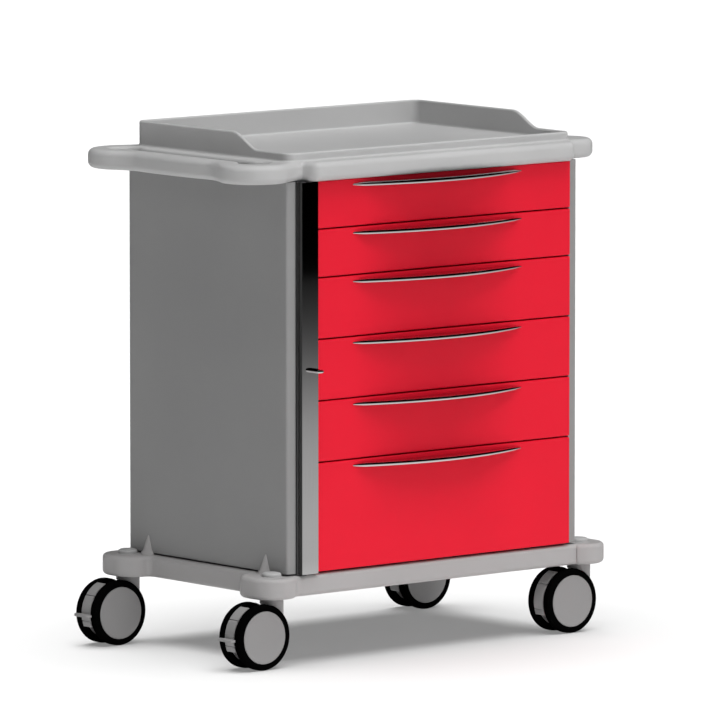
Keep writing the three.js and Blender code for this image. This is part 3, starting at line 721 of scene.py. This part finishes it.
def build_tab():
    """A small plate with a round end and a half-round edge, like the drawers' handles."""
    lo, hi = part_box("lock_tab")
    half, thick = (hi.x - lo.x) / 2, (hi.z - lo.z) / 2
    end = ((lo.x + hi.x) / 2, lo.y + half)
    bm = bmesh.new()
    rings = []
    for turn in np.radians(np.linspace(-90, 90, 9)):
        back = thick * (1 - math.cos(turn))
        round_end = arc(end, half - back, 180, 360, 25)
        loop = joined([(hi.x - back, hi.y), (lo.x + back, hi.y)], round_end)
        rings.append(ring(loop, (lo.z + hi.z) / 2 + thick * math.sin(turn)))
    rows = skin(bm, rings)
    fill(bm, rows[0])
    fill(bm, rows[-1])
    finished("lock_tab_plate", bm, HANDLE_STEEL, "lock", "satin_steel", ["lock_tab"])


# ---- Casters ----
def fender_arc(start, end, grooves, ribs=()):
    """The fork's outer arc in X and Z about the axle, with grooves across it."""
    angles = list(np.linspace(start, end, FENDER_STEPS))
    width, depth = 1.3, 1.6 * MM
    marks = [(g, width, depth) for g in grooves] + [(r, 1.0, 0.6 * MM) for r in ribs]
    angles = [a for a in angles if all(abs(a - g) > w for g, w, _ in marks)]
    points = [(a, FORK_RADIUS) for a in angles]
    for g, w, d in marks:
        half = w / 2
        points += [(g - half, FORK_RADIUS), (g - half + 0.05, FORK_RADIUS - d)]
        points += [(g + half - 0.05, FORK_RADIUS - d), (g + half, FORK_RADIUS)]
    points.sort()
    return np.array([
        (r * math.cos(math.radians(a)), r * math.sin(math.radians(a))) for a, r in points
    ])


def build_caster(name, side_x, side_y):
    swivel = Vector((CART_X + side_x * SWIVEL_X, CART_Y + side_y * SWIVEL_Y, 0))
    axle = Vector((swivel.x - TRAIL, swivel.y, WHEEL_RADIUS))
    braked = side_x < 0
    prefix = "caster_" + name

    def upright(a, b, h):
        return (axle.x + a, axle.y + h, axle.z + b)

    build_fork(prefix, swivel, axle, upright, braked)
    if braked:
        build_pedal(prefix, upright)
    for which, spin in (("outer", side_y), ("inner", -side_y)):
        build_wheel(prefix, which, axle, spin)


def build_fork(prefix, swivel, axle, upright, braked):
    """The web with its fender, the round head on top of it, the stem and the axle."""
    end = FENDER_END_DEG
    if braked:
        outer = np.concatenate([
            fender_arc(FORK_BROW_DEG, PEDAL_SLIT_DEG, []),
            arc((0, 0), FORK_INSIDE, PEDAL_SLIT_DEG, end, 20),
        ])
    else:
        grooves = [PEDAL_FROM_DEG, FENDER_GROOVE_DEG]
        outer = fender_arc(FORK_BROW_DEG, end, grooves, FENDER_RIBS_DEG)
    top = FORK_TOP - axle.z
    front = [FORK_FOOT, (FORK_FOOT[0], top), (-FORK_BROW, top)]
    boss = arc((0, 0), FORK_BOSS, end, 330, 20)
    bm = bmesh.new()
    prism(bm, joined(front, outer, boss), upright, -FORK_HALF, FORK_HALF)
    fork_head(bm, swivel, axle)

    low = HEAD_TOP - 1 * MM
    stem_profile = [(0, low), (STEM_RADIUS, low), (STEM_RADIUS, STEM_TOP), (0, STEM_TOP)]
    domed(bm, stem_profile, (swivel.x, swivel.y, 0), 32)
    rod = [(0, -AXLE_HALF), (AXLE_RADIUS, -AXLE_HALF), (AXLE_RADIUS, AXLE_HALF), (0, AXLE_HALF)]
    revolved(bm, rod, axle, count=32)
    finished(
        prefix + "_fork_moulding",
        bm,
        FORK_GREY,
        prefix + "_swivel",
        "fork_plastic",
        [prefix + "_fork"],
        bevel=(0.5 * MM, 2),
    )


def fork_head(bm, swivel, axle, count=48):
    """A round head whose underside follows the tyres."""
    angles = np.linspace(0, 2 * math.pi, count, endpoint=False)
    circle = HEAD_RADIUS * np.stack([np.cos(angles), np.sin(angles)], 1)
    reach = np.clip(HEAD_CLEARS**2 - (circle[:, 0] + TRAIL) ** 2, 0, None)
    under = np.maximum(axle.z + np.sqrt(reach), HEAD_LOWEST)
    rows = skin(bm, [
        ring(circle, under, swivel[:2]),
        ring(circle, HEAD_TOP - HEAD_EASE, swivel[:2]),
        ring(circle * (1 - HEAD_EASE / HEAD_RADIUS), HEAD_TOP, swivel[:2]),
    ])
    fill(bm, rows[-1])
    low = rows[0]
    for i in range(count // 2):
        quad = [low[i], low[i + 1], low[(count - i - 1) % count], low[(count - i) % count]]
        bm.faces.new(list(dict.fromkeys(quad)))


def build_pedal(prefix, upright):
    """The brake pedal: the fork's rear arc, with a flat tab across it for a toe."""
    end = FENDER_END_DEG
    outer = fender_arc(PEDAL_FROM_DEG, end, [FENDER_GROOVE_DEG], FENDER_RIBS_DEG)
    inner = arc((0, 0), PEDAL_INSIDE, end, PEDAL_FROM_DEG, 20)
    bm = bmesh.new()
    prism(bm, joined(outer, inner), upright, -FORK_HALF, FORK_HALF)

    inside = FORK_HALF - CAD_GAP
    shoulder = (TOE_NECK, TOE_HALF - 3 * MM)
    upper = np.concatenate([
        [(TOE_ROOT, inside)],
        bezier((TOE_NECK + 4 * MM, inside), (TOE_NECK, inside), shoulder, count=6),
        [(TOE_NECK - 0.5 * MM, TOE_HALF)],
        arc((TOE_TIP + TOE_CORNER, TOE_HALF - TOE_CORNER), TOE_CORNER, 90, 180, 10),
    ])
    loop = joined(upper, mirrored(upper, 1))
    prism(bm, loop, lambda a, b, h: upright(a, h, b), *TOE_Z)
    finished(
        prefix + "_pedal_moulding",
        bm,
        FORK_GREY,
        prefix + "_brake",
        "fork_plastic",
        [prefix + "_pedal"],
        bevel=(0.7 * MM, 3),
    )


def build_wheel(prefix, which, axle, spin):
    """A wheel: a grey hub with a shallow dish, inside a black tyre with round shoulders."""
    body = f"{prefix}_wheel_{which}"
    inner, outer = TYRE_Y
    shoulder, bore, tread = TYRE_SHOULDER, RIM_RADIUS, WHEEL_RADIUS
    profile = [(bore, inner)]
    for turn in np.radians(np.linspace(0, 90, 7)):
        across = tread - shoulder + shoulder * math.sin(turn)
        profile.append((across, inner + shoulder * (1 - math.cos(turn))))
    for turn in np.radians(np.linspace(90, 0, 7)):
        across = tread - shoulder + shoulder * math.sin(turn)
        profile.append((across, outer - shoulder * (1 - math.cos(turn))))
    profile += [(bore + 0.6 * MM, outer), (bore, outer - 0.8 * MM), (bore, inner)]
    bm = bmesh.new()
    revolved(bm, profile, axle, spin, 96)
    node = f"{prefix}_tyre_{which}"
    finished(node + "_ring", bm, TYRE_BLACK, body, "tyre_rubber", [node])

    rim = RIM_RADIUS - CAD_GAP
    profile = [
        (0, HUB_DEPTH),
        (HUB_BORE, HUB_DEPTH),
        (HUB_BORE, inner),
        (rim - 1 * MM, inner),
        (rim, inner + 1 * MM),
        (rim, outer - 1.1 * MM),
        (rim - 0.35 * MM, outer - 0.35 * MM),
        (rim - 1.1 * MM, outer),
        (rim - 3.2 * MM, outer),
        (rim - 4.2 * MM, outer - 0.5 * MM),
        (0.5 * rim, outer - 1.1 * MM),
        (0, outer - 1.3 * MM),
    ]
    bm = bmesh.new()
    revolved(bm, profile, axle, spin, 96)
    node = f"{prefix}_hub_{which}"
    finished(node + "_disc", bm, HUB_GREY, body, "hub_plastic", [node])


# ---- Setting ----
def stage_material(name, color, emission=None):
    made = bpy.data.materials.new(name)
    made.use_nodes = True
    shader = made.node_tree.nodes["Principled BSDF"]
    shader.inputs["Base Color"].default_value = (*color, 1)
    shader.inputs["Roughness"].default_value = 0.9
    shader.inputs["Specular IOR Level"].default_value = 0.0
    if emission:
        shader.inputs["Emission Color"].default_value = (*color, 1)
        shader.inputs["Emission Strength"].default_value = emission
    return made


def seen_by(thing, camera=False, diffuse=False, glossy=False, shadow=False):
    thing.visible_camera = camera
    thing.visible_diffuse = diffuse
    thing.visible_glossy = glossy
    thing.visible_transmission = camera
    thing.visible_shadow = shadow


def disc(name, radius, z, made):
    bm = bmesh.new()
    bmesh.ops.create_circle(bm, cap_ends=True, segments=96, radius=radius)
    mesh = bpy.data.meshes.new(name)
    bm.to_mesh(mesh)
    bm.free()
    mesh.materials.append(made)
    thing = bpy.data.objects.new(name, mesh)
    thing.location = (0, 0, z)
    bpy.context.scene.collection.objects.link(thing)
    return thing


def floor_glow():
    """What shiny metal sees: a pale floor that fades smoothly into a dark room."""
    glow = bpy.data.materials.new("floor_glow")
    glow.use_nodes = True
    nodes, links = glow.node_tree.nodes, glow.node_tree.links
    nodes.clear()

    def maths(operation, *sources):
        node = nodes.new("ShaderNodeMath")
        node.operation = operation
        for socket, source in zip(node.inputs, sources):
            if isinstance(source, float):
                socket.default_value = source
            else:
                links.new(source, socket)
        return node.outputs[0]

    place = nodes.new("ShaderNodeTexCoord")
    length = nodes.new("ShaderNodeVectorMath")
    length.operation = "LENGTH"
    links.new(place.outputs["Object"], length.inputs[0])
    away = length.outputs["Value"]
    faded = maths("EXPONENT", maths("DIVIDE", maths("SUBTRACT", away, GLOW_HALVED_AT), GLOW_SOFTNESS))
    far = maths("DIVIDE", FLOOR_GLOW, maths("ADD", faded, 1.0))
    lit = maths("MULTIPLY", far, maths("LESS_THAN", away, GLOW_END))
    near = nodes.new("ShaderNodeMapRange")
    near.inputs["From Min"].default_value, near.inputs["From Max"].default_value = NEAR_GLOW_FADE
    near.inputs["To Min"].default_value = NEAR_GLOW
    near.inputs["To Max"].default_value = 0
    links.new(away, near.inputs["Value"])
    emission = nodes.new("ShaderNodeEmission")
    output = nodes.new("ShaderNodeOutputMaterial")
    links.new(maths("ADD", lit, near.outputs["Result"]), emission.inputs["Color"])
    links.new(emission.outputs[0], output.inputs["Surface"])
    return glow


def build_stage():
    floor = disc("floor", 45, 0, stage_material("floor_white", (0.3, 0.3, 0.3), emission=0.7))
    seen_by(floor, camera=True)
    bounce = disc("bounce_floor", 45, -1 * MM, stage_material("bounce_white", (0.9, 0.9, 0.9)))
    seen_by(bounce, diffuse=True)

    mirror_floor = disc("mirror_floor", MIRROR_FLOOR_RADIUS, 0.5 * MM, floor_glow())
    seen_by(mirror_floor, glossy=True)

    bm = bmesh.new()
    bmesh.ops.create_uvsphere(bm, u_segments=48, v_segments=24, radius=44)
    mesh = bpy.data.meshes.new("backdrop")
    bm.to_mesh(mesh)
    bm.free()
    mesh.materials.append(stage_material("backdrop_white", (1, 1, 1), emission=1.0))
    backdrop = bpy.data.objects.new("backdrop", mesh)
    bpy.context.scene.collection.objects.link(backdrop)
    seen_by(backdrop, camera=True)


def build_lights():
    scene = bpy.context.scene
    world = bpy.data.worlds.new("studio")
    world.use_nodes = True
    background = world.node_tree.nodes["Background"]
    background.inputs["Color"].default_value = (0.15, 0.15, 0.15, 1)
    background.inputs["Strength"].default_value = 1.0
    world.cycles_visibility.glossy = False
    scene.world = world

    floor = bpy.data.objects["floor"]
    # The floor has a light of its own, so that its shadow stays pale and close to the cart.
    for name, energy, angle, toward, state in (
        ("softbox", 2.5, 45, (0.03, -0.35, 1.0), "EXCLUDE"),
        ("front_fill", 0.8, 70, (0.15, -1.0, 0.3), "EXCLUDE"),
        ("overhead", 9.2, 70, (0, 0, 1), "INCLUDE"),
    ):
        add_sun(name, energy, angle, toward, floor, state)


def add_sun(name, energy, angle, toward, linked, state):
    """A wide soft light that lights everything but one object, or that object alone."""
    sun = bpy.data.lights.new(name, "SUN")
    sun.energy = energy
    sun.angle = math.radians(angle)
    lamp = bpy.data.objects.new(name, sun)
    lamp.rotation_mode = "QUATERNION"
    lamp.rotation_quaternion = Vector(toward).to_track_quat("Z", "Y")
    lamp.visible_glossy = False
    bpy.context.scene.collection.objects.link(lamp)
    receivers = bpy.data.collections.new(name + "_receivers")
    receivers.objects.link(linked)
    receivers.collection_objects[0].light_linking.link_state = state
    lamp.light_linking.receiver_collection = receivers


def build_camera():
    """A long lens that looks at the front-left corner from a little above."""
    azimuth, elevation = math.radians(-40.05), math.radians(6.64)
    target = Vector((-0.2551, -0.3535, 0.5887))
    distance = 18.424
    back = Vector((
        math.sin(azimuth) * math.cos(elevation),
        -math.cos(azimuth) * math.cos(elevation),
        math.sin(elevation),
    ))
    data = bpy.data.cameras.new("camera")
    data.lens = 491.55
    data.sensor_width = 36
    data.clip_start = 0.1
    data.clip_end = 200
    camera = bpy.data.objects.new("camera", data)
    camera.location = target + back * distance
    camera.rotation_mode = "QUATERNION"
    camera.rotation_quaternion = back.to_track_quat("Z", "Y")
    bpy.context.scene.collection.objects.link(camera)
    bpy.context.scene.camera = camera
    bpy.context.scene.view_settings.view_transform = "Standard"


build_camera()
build_base()
build_worktop()
build_gallery()
build_cabinet()
for drawer_number in range(1, 7):
    build_drawer(drawer_number)
build_lock()
for corner_name, (corner_x, corner_y) in CORNERS.items():
    build_caster(corner_name, corner_x, corner_y)
build_stage()
build_lights()
